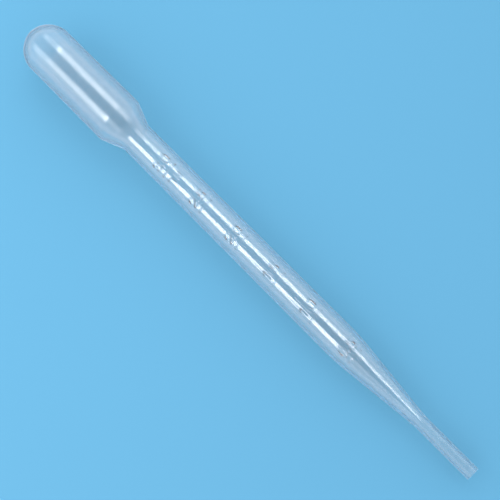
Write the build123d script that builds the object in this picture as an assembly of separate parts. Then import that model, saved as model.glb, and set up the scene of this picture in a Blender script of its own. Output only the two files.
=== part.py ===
from build123d import *
import os
from math import asin, atan2, degrees, hypot

# Disposable dropper pipette, blow moulded in one piece of polyethylene.
# Millimetres. It is drawn with its closed end at the origin and its tip towards +X, and
# then laid down as it rests on a bench: bulb towards -X, graduations facing up.

# --- driving dimensions ---------------------------------------------------------------
LENGTH = 150.0               # closed end of the bulb to the mouth of the tip

BULB_LENGTH = 32.5           # closed end to the shoulder's upper corner
BULB_END_RADIUS = 6.37       # where the dome runs into the side
BULB_RADIUS = 6.42           # at the shoulder: the bulb swells by a hair towards it
DOME_LENGTH = 6.8
DOME_FLANK = (1.9, 4.2)      # a point on the slightly pointed dome
DOME_LEAN = (0.75, 0.65)     # how far that point moves in, along and across, per mm of wall
SHOULDER_LENGTH = 6.2        # cone from the bulb down to the stem
SHOULDER_BLEND = 4.5         # outside radius at the bulb's lower corner
NECK_BLEND = 3.0             # hollow radius where the shoulder meets the stem

STEM_TOP_RADIUS = 4.07       # the stem widens by a hair towards the tip
STEM_END_RADIUS = 4.14
STEM_END = 110.5             # closed end to where the taper starts
STEM_END_BLEND = 60.0        # the long soft radius into the taper

TIP_LENGTH = 16.6            # straight drawn tip
TIP_RADIUS = 1.67
TIP_BLEND = 10.0             # hollow radius from the taper into the tip

DOME_WALL = 1.1              # the closed end is thickest, where the blown tube was pinched
BULB_WALL = 0.36
STEM_WALL = 0.5
TIP_WALL = 0.67

# Graduations: raised bars across the top of the stem, one for each half millilitre
BAR_STATIONS = (51.6, 64.0, 76.3, 88.7, 100.8, 113.4)
BAR_WIDTH = 0.9
BAR_HEIGHT = 0.18
BAR_SPAN = 62.0              # degrees of the stem's girth

SHOULDER_END = BULB_LENGTH + SHOULDER_LENGTH
TIP_START = LENGTH - TIP_LENGTH


# --- the skin and the hollow ------------------------------------------------------------
def flank(bulb=0.0, stem=0.0, tip=0.0):
    """The side of the pipette from the dome to the mouth, set in by the wall at each stretch."""
    corners = [
        (DOME_LENGTH, BULB_END_RADIUS - bulb),
        (BULB_LENGTH, BULB_RADIUS - bulb),
        (SHOULDER_END, STEM_TOP_RADIUS - stem),
        (STEM_END, STEM_END_RADIUS - stem),
        (TIP_START, TIP_RADIUS - tip),
        (LENGTH, TIP_RADIUS - tip),
    ]
    blends = [SHOULDER_BLEND - bulb, NECK_BLEND + stem, STEM_END_BLEND - stem, TIP_BLEND + tip]
    return FilletPolyline(*corners, radius=blends)


def half_section(dome=0.0, bulb=0.0, stem=0.0, tip=0.0):
    """Half of the long section. With no wall it is the outer skin, and otherwise the hollow."""
    side = flank(bulb, stem, tip)
    start, end = side @ 0, side @ 1
    wall_there = (dome + bulb) / 2
    dome_x = DOME_FLANK[0] + DOME_LEAN[0] * wall_there
    dome_radius = DOME_FLANK[1] - DOME_LEAN[1] * wall_there
    cap = Spline((dome, 0), (dome_x, dome_radius), start, tangents=[(0, 1), side % 0])
    mouth = Line(end, (LENGTH, 0))
    axis = Line((LENGTH, 0), (dome, 0))
    return make_face([cap, *side.edges(), mouth, axis])


def skin_radius(x):
    """Outside radius of the stem or the taper, x from the closed end."""
    if x < STEM_END:
        along = (x - SHOULDER_END) / (STEM_END - SHOULDER_END)
        return STEM_TOP_RADIUS + along * (STEM_END_RADIUS - STEM_TOP_RADIUS)
    along = (x - STEM_END) / (TIP_START - STEM_END)
    return STEM_END_RADIUS + along * (TIP_RADIUS - STEM_END_RADIUS)


# --- graduations ----------------------------------------------------------------------
def graduation_bar(x):
    """A low round-backed bar across the stem with rounded ends, as a ring segment and two balls."""
    round_radius = (BAR_WIDTH**2 / 4 + BAR_HEIGHT**2) / (2 * BAR_HEIGHT)
    ring_radius = skin_radius(x) + BAR_HEIGHT - round_radius
    bar_round = Pos(x, ring_radius) * Circle(round_radius)
    ring = revolve(bar_round, Axis.X, revolution_arc=BAR_SPAN)
    first_ball = Pos(x, ring_radius) * Sphere(round_radius)
    last_ball = Rot(BAR_SPAN, 0, 0) * first_ball
    to_the_top = Rot(90 - BAR_SPAN / 2, 0, 0)
    return to_the_top * (ring + first_ball + last_ball)


# --- the pipette, and how it lies ---------------------------------------------------------
def resting_tilt():
    """Droop of the tip when the bulb's lower corner and the stem's end both touch the bench.

    It is the slope of the line that touches the two outside blends there."""
    blends = flank().edges().filter_by(GeomType.CIRCLE).sort_by(Axis.X)
    bulb_corner, stem_end = blends[0], blends[2]
    gap = stem_end.arc_center - bulb_corner.arc_center
    slope_of_centres = atan2(gap.Y, gap.X)
    reach_difference = bulb_corner.radius - stem_end.radius
    return degrees(asin(reach_difference / hypot(gap.X, gap.Y)) - slope_of_centres)


skin = revolve(half_section(), Axis.X)
hollow = revolve(half_section(DOME_WALL, BULB_WALL, STEM_WALL, TIP_WALL), Axis.X)
bars = [graduation_bar(x) for x in BAR_STATIONS]
pipette = skin + bars - hollow

pipette = Rot(0, resting_tilt(), 0) * pipette
box = pipette.bounding_box()
pipette = Pos(-box.center().X, 0, -box.min.Z) * pipette

os.makedirs("parts", exist_ok=True)
export_step(pipette, "parts/pipette.step")
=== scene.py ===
import math

import bpy
from mathutils import Matrix, Vector


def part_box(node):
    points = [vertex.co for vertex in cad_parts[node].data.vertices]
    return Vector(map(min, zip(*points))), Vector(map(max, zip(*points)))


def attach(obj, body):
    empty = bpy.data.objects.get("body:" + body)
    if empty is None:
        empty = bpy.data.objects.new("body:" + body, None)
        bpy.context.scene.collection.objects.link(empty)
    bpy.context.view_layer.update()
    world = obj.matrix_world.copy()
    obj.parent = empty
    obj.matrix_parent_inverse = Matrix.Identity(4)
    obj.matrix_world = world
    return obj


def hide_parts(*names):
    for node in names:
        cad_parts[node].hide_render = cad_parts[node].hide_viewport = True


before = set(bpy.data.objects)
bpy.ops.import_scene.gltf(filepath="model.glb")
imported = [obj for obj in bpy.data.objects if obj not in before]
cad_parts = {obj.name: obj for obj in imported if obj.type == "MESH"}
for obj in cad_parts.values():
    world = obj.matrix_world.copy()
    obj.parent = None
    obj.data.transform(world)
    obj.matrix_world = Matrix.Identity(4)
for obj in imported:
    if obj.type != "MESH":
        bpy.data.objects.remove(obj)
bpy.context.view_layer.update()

lying_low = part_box("pipette")[0]

# A disposable dropper pipette of milky polyethylene, blown in one piece.
# It is drawn in millimetres with its closed end at the origin, then brought to metres,
# tilted as it rests and laid where the bench model lies.

# --- measures of the skin ---------------------------------------------------------------
LENGTH = 150.0
BULB_END_RADIUS = 6.37
BULB_LENGTH, BULB_RADIUS = 32.5, 6.42
SHOULDER_END, STEM_TOP_RADIUS = 38.7, 4.07
STEM_END, STEM_END_RADIUS = 110.5, 4.14
TIP_START, TIP_RADIUS = 133.4, 1.67

DOME_WALL = 0.6
BULB_WALL = 0.36
STEM_WALL = 0.5
TIP_WALL = 0.67

DOME_ROUNDNESS = 0.463                       # bevel profile of the domed end
DOME_FLAT = 0.02                             # left flat in the middle of the dome
SHOULDER_REACH, NECK_REACH, TAPER_REACH, TIP_REACH = 0.83, 0.55, 3.25, 0.55
HOLLOW_PAST_MOUTH = 1.0                      # the hollow runs on, so that it cuts right through

RESTING_TILT = math.radians(1.7094)
AXIS_START = (-0.07499, 0, 0.00736)          # where the closed end rests, in metres
METRES = 0.001                               # millimetres to metres

# --- measures of the marks ----------------------------------------------------------------
GRADUATIONS = (
    (51.6, "3.0"),
    (64.0, "2.5"),
    (76.3, "2.0"),
    (88.7, "1.5"),
    (100.8, "1.0"),
    (113.4, "0.5"),
)
BAR_WIDTH, BAR_HEIGHT, BAR_SPAN = 0.55, 0.16, math.radians(62)
FIGURE_WIDTH, FIGURE_HEIGHT = 1.45, 2.3      # between the middles of the strokes
FIGURE_PLACES = (-2.12, 0.76)                # where each figure starts, across the stem
POINT_PLACE, POINT_LENGTH = -0.2, 0.08
FOOT_GAP = 1.47                              # bar to the foot of its figures
LINE_WIDTH, LINE_HEIGHT = 0.6, 0.165
LETTER_WIDTH, LETTER_HEIGHT = 1.3, 1.65
LETTER_PLACES = (("M", -1.4), ("L", 0.9))    # where each letter starts, across the stem
LETTER_GAP = 1.78                            # first bar to the foot of the letters
FINE_WIDTH, FINE_HEIGHT = 0.42, 0.13         # the letters' lines
INSIDE_SHARE = 0.5                           # how far the inside of the wall follows the marks

# cuts across a ball end: how far out they stand, and how thick they are from the end inwards
BALL_PLACES = (0.5, 0.866, 0.985)
BALL_THICKNESS = (0.17, 0.5, 0.866)
LONGEST_EDGE = 0.4                           # short enough to bend round the stem smoothly

# --- how finely it is made ------------------------------------------------------------------
LATHE_STEPS = 144
GENTLE = 0.56                                # bevel profile for a shallow corner
QUARTER = 0.5                                # bevel profile for a quarter turn
SAME_POINT = 1e-4                            # points as near as this are one
SAME_POINT_ON_LATHE = 1e-3
SMOOTH_UP_TO = math.radians(28)


# --- hand tools ---------------------------------------------------------------------------
def take(piece):
    bpy.ops.object.select_all(action="DESELECT")
    piece.select_set(True)
    bpy.context.view_layer.objects.active = piece


def pick_points(piece, wanted):
    """Selects the points of a piece that pass a test, and opens it for editing."""
    take(piece)
    bpy.ops.object.mode_set(mode="EDIT")
    bpy.ops.mesh.select_mode(type="VERT")
    bpy.ops.mesh.select_all(action="DESELECT")
    bpy.ops.object.mode_set(mode="OBJECT")
    for point in piece.data.vertices:
        point.select = wanted(point.co)
    bpy.ops.object.mode_set(mode="EDIT")


def close_edit():
    bpy.ops.object.mode_set(mode="OBJECT")


def draw_run(name, corners, closed=False):
    """A run of straight edges, drawn by pulling one point from corner to corner."""
    bpy.ops.object.select_all(action="DESELECT")
    bpy.ops.mesh.primitive_plane_add(size=1)
    run = bpy.context.object
    run.name = name
    bpy.ops.object.mode_set(mode="EDIT")
    bpy.ops.mesh.select_mode(type="VERT")
    bpy.ops.mesh.select_all(action="SELECT")
    bpy.ops.mesh.merge(type="CENTER")
    bpy.ops.transform.translate(value=(corners[0][0], 0, corners[0][1]))
    for here, there in zip(corners, corners[1:]):
        step = (there[0] - here[0], 0, there[1] - here[1])
        bpy.ops.mesh.extrude_vertices_move(TRANSFORM_OT_translate={"value": step})
    close_edit()
    if closed:
        ends = [Vector((x, 0, z)) for x, z in (corners[0], corners[-1])]
        pick_points(run, lambda co: min((co - end).length for end in ends) < SAME_POINT)
        bpy.ops.mesh.edge_face_add()
        close_edit()
    return run


def round_corner(run, corner, reach, steps, profile=QUARTER):
    """Rounds the corner of a run, from reach before it to reach after it."""
    place = Vector((corner[0], 0, corner[1]))
    pick_points(run, lambda co: (co - place).length < SAME_POINT)
    bpy.ops.mesh.bevel(
        affect="VERTICES", offset=reach, segments=steps, profile=profile, clamp_overlap=False
    )
    close_edit()


def divide_long_edges(run, longest):
    """Halves every edge that is longer than that, until none is."""
    while True:
        points = run.data.vertices
        ends = [(points[e.vertices[0]].co, points[e.vertices[1]].co) for e in run.data.edges]
        too_long = [i for i, (a, b) in enumerate(ends) if (a - b).length > longest]
        if not too_long:
            return
        take(run)
        bpy.ops.object.mode_set(mode="EDIT")
        bpy.ops.mesh.select_mode(type="EDGE")
        bpy.ops.mesh.select_all(action="DESELECT")
        close_edit()
        for i in too_long:
            run.data.edges[i].select = True
        bpy.ops.object.mode_set(mode="EDIT")
        bpy.ops.mesh.subdivide(number_cuts=1)
        close_edit()


def turn_on_lathe(run):
    """Spins an outline about the long axis into a closed solid."""
    take(run)
    bpy.ops.object.mode_set(mode="EDIT")
    bpy.ops.mesh.select_all(action="SELECT")
    bpy.ops.mesh.spin(steps=LATHE_STEPS, angle=math.tau, center=(0, 0, 0), axis=(1, 0, 0))
    bpy.ops.mesh.select_all(action="SELECT")
    bpy.ops.mesh.remove_doubles(threshold=SAME_POINT_ON_LATHE)
    bpy.ops.mesh.normals_make_consistent(inside=False)
    close_edit()


def combine(piece, tool, operation):
    """Joins a tool body to a piece, or cuts it away, and clears the tool."""
    take(piece)
    work = piece.modifiers.new(operation, "BOOLEAN")
    work.operation = operation
    work.solver = "MANIFOLD"
    work.object = tool
    bpy.ops.object.modifier_apply(modifier=work.name)
    bpy.data.objects.remove(tool)


# --- the skin and the hollow ----------------------------------------------------------------
def outline(name, closed_end, bulb, stem, tip, mouth):
    """Long outline from the closed end to the mouth, at a depth under the skin that is given
    for the bulb, the stem and the tip."""
    dome_radius = BULB_END_RADIUS - bulb
    dome_corner = (closed_end, dome_radius)
    bulb_corner = (BULB_LENGTH, BULB_RADIUS - bulb)
    neck_corner = (SHOULDER_END, STEM_TOP_RADIUS - stem)
    taper_corner = (STEM_END, STEM_END_RADIUS - stem)
    tip_corner = (TIP_START, TIP_RADIUS - tip)
    mouth_corner = (mouth, TIP_RADIUS - tip)
    run = draw_run(
        name,
        [(closed_end, 0), dome_corner, bulb_corner, neck_corner, taper_corner,
         tip_corner, mouth_corner, (mouth, 0)],
    )
    round_corner(run, dome_corner, dome_radius - DOME_FLAT, 28, DOME_ROUNDNESS)
    round_corner(run, bulb_corner, SHOULDER_REACH, 8, GENTLE)
    round_corner(run, neck_corner, NECK_REACH, 6, GENTLE)
    round_corner(run, taper_corner, TAPER_REACH, 10, GENTLE)
    round_corner(run, tip_corner, TIP_REACH, 4, GENTLE)
    return run


def outline_radius(run, x):
    """Radius of an outline at that distance from the closed end."""
    points = sorted((p.co.x, p.co.z) for p in run.data.vertices if p.co.z > 0)
    for (x0, r0), (x1, r1) in zip(points, points[1:]):
        if x0 <= x <= x1 and x1 > x0:
            return r0 + (r1 - r0) * (x - x0) / (x1 - x0)
    return points[-1][1]


# --- raised marks ----------------------------------------------------------------------------
def cutter_radius(width, height):
    """Radius of the ball cutter that leaves a mark of that width and height."""
    return (width**2 / 4 + height**2) / (2 * height)


def raised_line(corners, width, height, rounded=(), closed=False):
    """A round-backed line with ball ends along the corners. It stands upright, facing -Y,
    sunk so that the given width and height show above the skin."""
    radius = cutter_radius(width, height)
    path = list(corners)
    if not closed:
        for end, nearby in ((0, 1), (-1, -2)):
            tail = (Vector(path[end]) - Vector(path[nearby])).normalized() * radius
            ball = [tuple(Vector(path[end]) + tail * out) for out in BALL_PLACES]
            path = ball[::-1] + path if end == 0 else path + ball
    run = draw_run("raised line", path, closed)
    for corner, reach in rounded:
        round_corner(run, corner, reach, 7)
    divide_long_edges(run, LONGEST_EDGE)
    take(run)
    bpy.ops.object.convert(target="CURVE")
    line = bpy.context.object
    line.data.bevel_depth = radius
    line.data.bevel_resolution = 4
    line.data.use_fill_caps = True
    if not closed:
        points = line.data.splines[0].points
        for i, thickness in enumerate(BALL_THICKNESS):
            points[i].radius = thickness
            points[-1 - i].radius = thickness
    bpy.ops.object.convert(target="MESH")
    line = bpy.context.object
    bpy.ops.object.mode_set(mode="EDIT")
    bpy.ops.mesh.select_all(action="SELECT")
    bpy.ops.mesh.remove_doubles(threshold=SAME_POINT)
    bpy.ops.mesh.normals_make_consistent(inside=False)
    bpy.ops.transform.translate(value=(0, radius - height, 0))
    close_edit()
    return line


def wrap(line, radius, station, facing_bulb=True, shrink=1.0):
    """Bends an upright mark round the stem and lays it on the stem's top. Shrink brings it
    in towards the stem's middle, for the inside of the wall."""
    take(line)
    bend = line.modifiers.new("bend", "SIMPLE_DEFORM")
    bend.deform_method = "BEND"
    bend.deform_axis = "Z"
    bend.angle = line.dimensions.x / radius
    bpy.ops.object.modifier_apply(modifier=bend.name)
    line.rotation_euler = (-math.pi / 2, 0, math.pi / 2 if facing_bulb else -math.pi / 2)
    line.scale = (shrink, shrink, 1)
    line.location = (station, 0, radius * shrink)
    bpy.ops.object.transform_apply(location=True, rotation=True, scale=True)


def at(place, size, spots):
    """Spots of a figure on its own grid, from 0 to 1 each way, brought to their place."""
    return [(place + x * size[0], z * size[1]) for x, z in spots]


def figure_lines(sign, place):
    """The lines of one figure or letter, each as (corners, rounded corners, closed)."""
    size = (LETTER_WIDTH, LETTER_HEIGHT) if sign in "ML" else (FIGURE_WIDTH, FIGURE_HEIGHT)
    bow = size[0] / 2

    def line(spots, rounds=(), closed=False):
        corners = at(place, size, spots)
        return corners, [(corners[i], reach) for i, reach in rounds], closed

    if sign == "0":
        ring = [(0, 0), (1, 0), (1, 1), (0, 1)]
        return [line(ring, [(i, bow - 0.01) for i in range(4)], closed=True)]
    if sign == "1":
        return [line([(0.2, 0.74), (0.62, 1), (0.62, 0)])]
    if sign == "2":
        spots = [(0.02, 0.7), (0.02, 1), (1, 1), (1, 0.58), (0, 0), (1, 0)]
        return [line(spots, [(1, 0.62), (2, 0.7), (3, 0.25)])]
    if sign == "3":
        upper = [(0.02, 0.82), (0.02, 1), (0.95, 1), (0.95, 0.55), (0.4, 0.55)]
        lower = [(0.4, 0.52), (1, 0.52), (1, 0), (0, 0), (0, 0.2)]
        return [
            line(upper, [(1, 0.38), (2, 0.5), (3, 0.5)]),
            line(lower, [(1, 0.58), (2, 0.58), (3, 0.42)]),
        ]
    if sign == "5":
        spots = [(0.92, 1), (0.12, 1), (0.05, 0.56), (1, 0.62), (1, 0), (0, 0), (0, 0.16)]
        return [line(spots, [(1, 0.1), (2, 0.1), (3, 0.6), (4, 0.7), (5, 0.34)])]
    if sign == "M":
        strokes = [[(0, 0), (0, 1)], [(0.02, 0.98), (0.5, 0.25)], [(0.5, 0.27), (0.98, 0.98)],
                   [(1, 1), (1, 0)]]
        return [line(s) for s in strokes]
    return [line([(0, 1), (0, 0), (1, 0)])]


def raise_marks(solid, run, depth=0.0, share=1.0):
    """Adds the bars, the figures and the unit letters to a solid that lies that deep under
    the skin. Share is how much of their height they keep there."""
    for station, number in GRADUATIONS:
        radius = outline_radius(run, station)
        half = BAR_SPAN / 2 * radius
        bar = raised_line([(-half, 0), (half, 0)], BAR_WIDTH, BAR_HEIGHT * share)
        wrap(bar, radius, station, shrink=1 - depth / radius)
        combine(solid, bar, "UNION")
        foot = station - FOOT_GAP
        radius = outline_radius(run, foot - FIGURE_HEIGHT / 2)
        shrink = 1 - depth / radius
        for sign, place in zip(number[::2], FIGURE_PLACES):
            for corners, rounded, closed in figure_lines(sign, place):
                mark = raised_line(corners, LINE_WIDTH, LINE_HEIGHT * share, rounded, closed)
                wrap(mark, radius, foot, shrink=shrink)
                combine(solid, mark, "UNION")
        dot = [(POINT_PLACE, 0), (POINT_PLACE, POINT_LENGTH)]
        point = raised_line(dot, LINE_WIDTH, LINE_HEIGHT * share)
        wrap(point, radius, foot, shrink=shrink)
        combine(solid, point, "UNION")
    foot = GRADUATIONS[0][0] + LETTER_GAP
    radius = outline_radius(run, foot)
    for sign, place in LETTER_PLACES:
        for corners, rounded, closed in figure_lines(sign, place):
            mark = raised_line(corners, FINE_WIDTH, FINE_HEIGHT * share, rounded, closed)
            wrap(mark, radius, foot, facing_bulb=False, shrink=1 - depth / radius)
            combine(solid, mark, "UNION")


# --- the pipette -----------------------------------------------------------------------------
def make_pipette():
    skin = outline("pipette_moulding", 0, 0, 0, 0, LENGTH)
    marks_run = skin.copy()
    marks_run.data = skin.data.copy()
    turn_on_lathe(skin)
    raise_marks(skin, marks_run)
    past_mouth = LENGTH + HOLLOW_PAST_MOUTH
    hollow = outline("hollow", DOME_WALL, BULB_WALL, STEM_WALL, TIP_WALL, past_mouth)
    turn_on_lathe(hollow)
    raise_marks(hollow, marks_run, STEM_WALL, INSIDE_SHARE)
    bpy.data.objects.remove(marks_run)
    combine(skin, hollow, "DIFFERENCE")

    # laid down as it rests, at the low corner of the bench model
    take(skin)
    skin.rotation_euler = (0, RESTING_TILT, 0)
    skin.scale = (METRES, METRES, METRES)
    bpy.ops.object.transform_apply(location=True, rotation=True, scale=True)
    low = Vector([min(p.co[k] for p in skin.data.vertices) for k in range(3)])
    bpy.ops.object.mode_set(mode="EDIT")
    bpy.ops.mesh.select_all(action="SELECT")
    bpy.ops.transform.translate(value=(lying_low[0] - low.x, 0, lying_low[2] - low.z))
    close_edit()
    bpy.ops.object.shade_smooth_by_angle(angle=SMOOTH_UP_TO)
    return skin


# --- finishes -----------------------------------------------------------------------------------
CENTIMETRES = 100                            # metres to centimetres, for levels from 0 to 1
PIT_DULLNESS = 0.75                          # roughness that a pit adds
HAZE_DULLNESS, HAZE_START = 0.07, -0.03      # roughness that haze adds, and where it starts


def new_finish(name):
    finish = bpy.data.materials.new(name)
    finish.use_nodes = True
    finish.node_tree.nodes.clear()
    return finish, finish.node_tree.nodes, finish.node_tree.links


def fill_ramp(ramp, stops):
    """Gives a colour ramp its stops, each as (position, colour)."""
    elements = ramp.color_ramp.elements
    while len(elements) < len(stops):
        elements.new(0.5)
    for element, (position, colour) in zip(elements, stops):
        element.position = position
        element.color = colour


def milky_polyethylene():
    finish, nodes, links = new_finish("milky_polyethylene")

    def put(source, socket):
        """Sets a socket to a value, or joins it to another node's output."""
        if isinstance(source, bpy.types.NodeSocket):
            links.new(source, socket)
        else:
            socket.default_value = source

    def maths(operation, *sources):
        node = nodes.new("ShaderNodeMath")
        node.operation = operation
        for source, socket in zip(sources, node.inputs):
            put(source, socket)
        return node.outputs[0]

    def noise(scale, detail, roughness=0.5):
        node = nodes.new("ShaderNodeTexNoise")
        node.inputs["Scale"].default_value = scale
        node.inputs["Detail"].default_value = detail
        node.inputs["Roughness"].default_value = roughness
        links.new(place, node.inputs["Vector"])
        return node.outputs["Fac"]

    def ramp(source, stops):
        node = nodes.new("ShaderNodeValToRGB")
        fill_ramp(node, stops)
        links.new(source, node.inputs["Fac"])
        return node.outputs["Color"]

    def stretches(*stops):
        """A level that changes along the pipette, from 0 at the closed end to 1 at the mouth."""
        return ramp(share, [(where, (level, level, level, 1)) for where, level in stops])

    def bump(height, strength, distance, normal=None):
        node = nodes.new("ShaderNodeBump")
        node.inputs["Strength"].default_value = strength
        node.inputs["Distance"].default_value = distance
        links.new(height, node.inputs["Height"])
        if normal is not None:
            links.new(normal, node.inputs["Normal"])
        return node.outputs["Normal"]

    plastic = nodes.new("ShaderNodeBsdfPrincipled")
    plastic.inputs["IOR"].default_value = 1.51
    plastic.inputs["Transmission Weight"].default_value = 0.97
    plastic.inputs["Sheen Weight"].default_value = 1.0
    plastic.inputs["Sheen Roughness"].default_value = 0.42
    plastic.inputs["Sheen Tint"].default_value = (0.84, 0.9, 1.0, 1)
    place = nodes.new("ShaderNodeTexCoord").outputs["Object"]

    # share of the length from the closed end, and centimetres across from the long axis
    axis = nodes.new("ShaderNodeMapping")
    axis.vector_type = "TEXTURE"
    axis.inputs["Location"].default_value = AXIS_START
    axis.inputs["Rotation"].default_value = (0, RESTING_TILT, 0)
    along = nodes.new("ShaderNodeSeparateXYZ")
    length = nodes.new("ShaderNodeMapRange")
    length.inputs["From Max"].default_value = LENGTH * METRES
    across = nodes.new("ShaderNodeVectorMath")
    across.operation = "MULTIPLY"
    across.inputs[1].default_value = (0, CENTIMETRES, CENTIMETRES)
    radius = nodes.new("ShaderNodeVectorMath")
    radius.operation = "LENGTH"
    links.new(place, axis.inputs["Vector"])
    links.new(axis.outputs["Vector"], along.inputs[0])
    links.new(along.outputs["X"], length.inputs["Value"])
    links.new(axis.outputs["Vector"], across.inputs[0])
    links.new(across.outputs["Vector"], radius.inputs[0])
    share = length.outputs["Result"]

    # glossy along the stem, a little softer on the bulb and the drawn tip
    gloss = stretches((0.0, 0.13), (0.2, 0.12), (0.25, 0.08), (0.74, 0.08), (0.9, 0.12))

    # the bulb's skin is finely pitted by its mould: the middle of the wall parts it from
    # the smooth inside
    middle = stretches(
        (0.004, 0.0), (0.012, 0.39), (0.045, 0.6), (0.06, 0.622), (0.217, 0.624), (0.258, 0.385)
    )
    pitted = stretches((0.0, 0.2), (0.22, 0.16), (0.262, 0.0))
    outer = maths("GREATER_THAN", radius.outputs["Value"], middle)
    pits = maths("LESS_THAN", noise(scale=9000.0, detail=0.0), pitted)
    satin = maths("MULTIPLY_ADD", maths("MULTIPLY", outer, pits), PIT_DULLNESS, gloss)

    # handling haze: patches a few millimetres wide that are a little duller
    haze = noise(scale=240.0, detail=4.0, roughness=0.6)
    dull = maths("MULTIPLY_ADD", haze, HAZE_DULLNESS, HAZE_START)
    links.new(maths("ADD", dull, satin), plastic.inputs["Roughness"])

    # the milkiness drifts a little with the thickness of the blown wall
    milk = ramp(
        noise(scale=90.0, detail=2.0),
        [(0.35, (0.975, 0.985, 0.995, 1)), (0.65, (0.995, 0.998, 1.0, 1))],
    )
    links.new(milk, plastic.inputs["Base Color"])

    # slow waves from blowing, and the fine grain of the mould
    waves = noise(scale=130.0, detail=1.0)
    grain = noise(scale=2600.0, detail=2.0)
    wavy = bump(waves, strength=0.1, distance=0.0002)
    grained = bump(grain, strength=0.02, distance=0.00002, normal=wavy)
    links.new(grained, plastic.inputs["Normal"])

    # light that only passes through on its way to the bench is hardly held back
    clear = nodes.new("ShaderNodeBsdfTransparent")
    clear.inputs["Color"].default_value = (0.985, 0.99, 0.995, 1)
    rays = nodes.new("ShaderNodeLightPath")
    mix = nodes.new("ShaderNodeMixShader")
    out = nodes.new("ShaderNodeOutputMaterial")
    links.new(rays.outputs["Is Shadow Ray"], mix.inputs["Fac"])
    links.new(plastic.outputs[0], mix.inputs[1])
    links.new(clear.outputs[0], mix.inputs[2])
    links.new(mix.outputs[0], out.inputs["Surface"])
    return finish


def blue_card():
    finish, nodes, links = new_finish("blue_card")
    out = nodes.new("ShaderNodeOutputMaterial")
    card = nodes.new("ShaderNodeBsdfPrincipled")
    card.inputs["Base Color"].default_value = (0.165, 0.505, 0.758, 1)
    card.inputs["Roughness"].default_value = 0.85
    card.inputs["Specular IOR Level"].default_value = 0.2
    links.new(card.outputs[0], out.inputs["Surface"])
    return finish


pipette = make_pipette()
pipette.data.materials.clear()
pipette.data.materials.append(milky_polyethylene())
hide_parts("pipette")
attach(pipette, "root")

# --- bench, light and camera ---------------------------------------------------------------------
LOOKED_AT = Vector((0.00323, 0.00019, 0.00503))  # a little to the tip's side of the middle
CAMERA_DISTANCE = 0.3033
CAMERA_LEAN = math.radians(13.48) + RESTING_TILT  # from overhead, towards the tip
CAMERA_ROLL = math.radians(45)
LENS, SENSOR_WIDTH = 93.6, 36
NEAREST_SEEN = 0.01
LAMP_DISTANCE, LAMP_WIDTH = 0.65, 0.29
LAMP_LEAN = math.radians(34)                      # from overhead, to either side
BENCH_SIZE = 3.0
MOST_BOUNCES = 24                                 # light turns many times inside the clear wall

bpy.ops.object.select_all(action="DESELECT")
bpy.ops.mesh.primitive_plane_add(size=BENCH_SIZE)
bench = bpy.context.object
bench.name = "bench"
bench.data.materials.append(blue_card())


def softbox(name, lean, along, length, power):
    """A long softbox beside the pipette, leaning that far from overhead and facing it."""
    bpy.ops.object.select_all(action="DESELECT")
    bpy.ops.object.light_add(type="AREA")
    lamp = bpy.context.object
    lamp.name = name
    lamp.data.shape = "RECTANGLE"
    lamp.data.size = length
    lamp.data.size_y = LAMP_WIDTH
    lamp.data.energy = power
    lamp.location = LOOKED_AT + Vector(
        (along, math.sin(lean) * LAMP_DISTANCE, math.cos(lean) * LAMP_DISTANCE)
    )
    lamp.rotation_euler = (-lean, 0, 0)


# the near softbox is weaker towards the bulb's end
softbox("softbox_near_side", -LAMP_LEAN, -0.130, 0.268, 1.85)
softbox("softbox_near_side_end", -LAMP_LEAN, -0.490, 0.452, 0.8)
softbox("softbox_far_side", LAMP_LEAN, -0.356, 0.72, 1.2)

# the studio is pale all round and dark overhead
world = bpy.data.worlds.new("studio")
bpy.context.scene.world = world
world.use_nodes = True
nodes, links = world.node_tree.nodes, world.node_tree.links
around = nodes.new("ShaderNodeTexCoord")
height = nodes.new("ShaderNodeSeparateXYZ")
walls = nodes.new("ShaderNodeValToRGB")
links.new(around.outputs["Generated"], height.inputs[0])
links.new(height.outputs["Z"], walls.inputs["Fac"])
links.new(walls.outputs["Color"], nodes["Background"].inputs["Color"])
fill_ramp(
    walls,
    [
        (0.0, (1.15, 1.13, 1.2, 1)),
        (0.35, (1.0, 0.98, 1.05, 1)),
        (0.55, (0.6, 0.62, 0.68, 1)),
        (0.75, (0.34, 0.36, 0.41, 1)),
        (0.87, (0.16, 0.2, 0.25, 1)),
    ],
)

bpy.ops.object.select_all(action="DESELECT")
bpy.ops.object.camera_add()
camera = bpy.context.object
camera.name = "camera"
camera.location = LOOKED_AT + CAMERA_DISTANCE * Vector(
    (math.sin(CAMERA_LEAN), 0, math.cos(CAMERA_LEAN))
)
aim = Matrix.Rotation(CAMERA_LEAN, 3, "Y") @ Matrix.Rotation(CAMERA_ROLL, 3, "Z")
camera.rotation_euler = aim.to_euler()
camera.data.sensor_width = SENSOR_WIDTH
camera.data.lens = LENS
camera.data.clip_start = NEAREST_SEEN
bpy.context.scene.camera = camera

bpy.context.scene.view_settings.view_transform = "Standard"
cycles = bpy.context.scene.cycles
cycles.caustics_reflective = False
cycles.caustics_refractive = False
cycles.max_bounces = MOST_BOUNCES
cycles.transmission_bounces = MOST_BOUNCES
cycles.transparent_max_bounces = MOST_BOUNCES
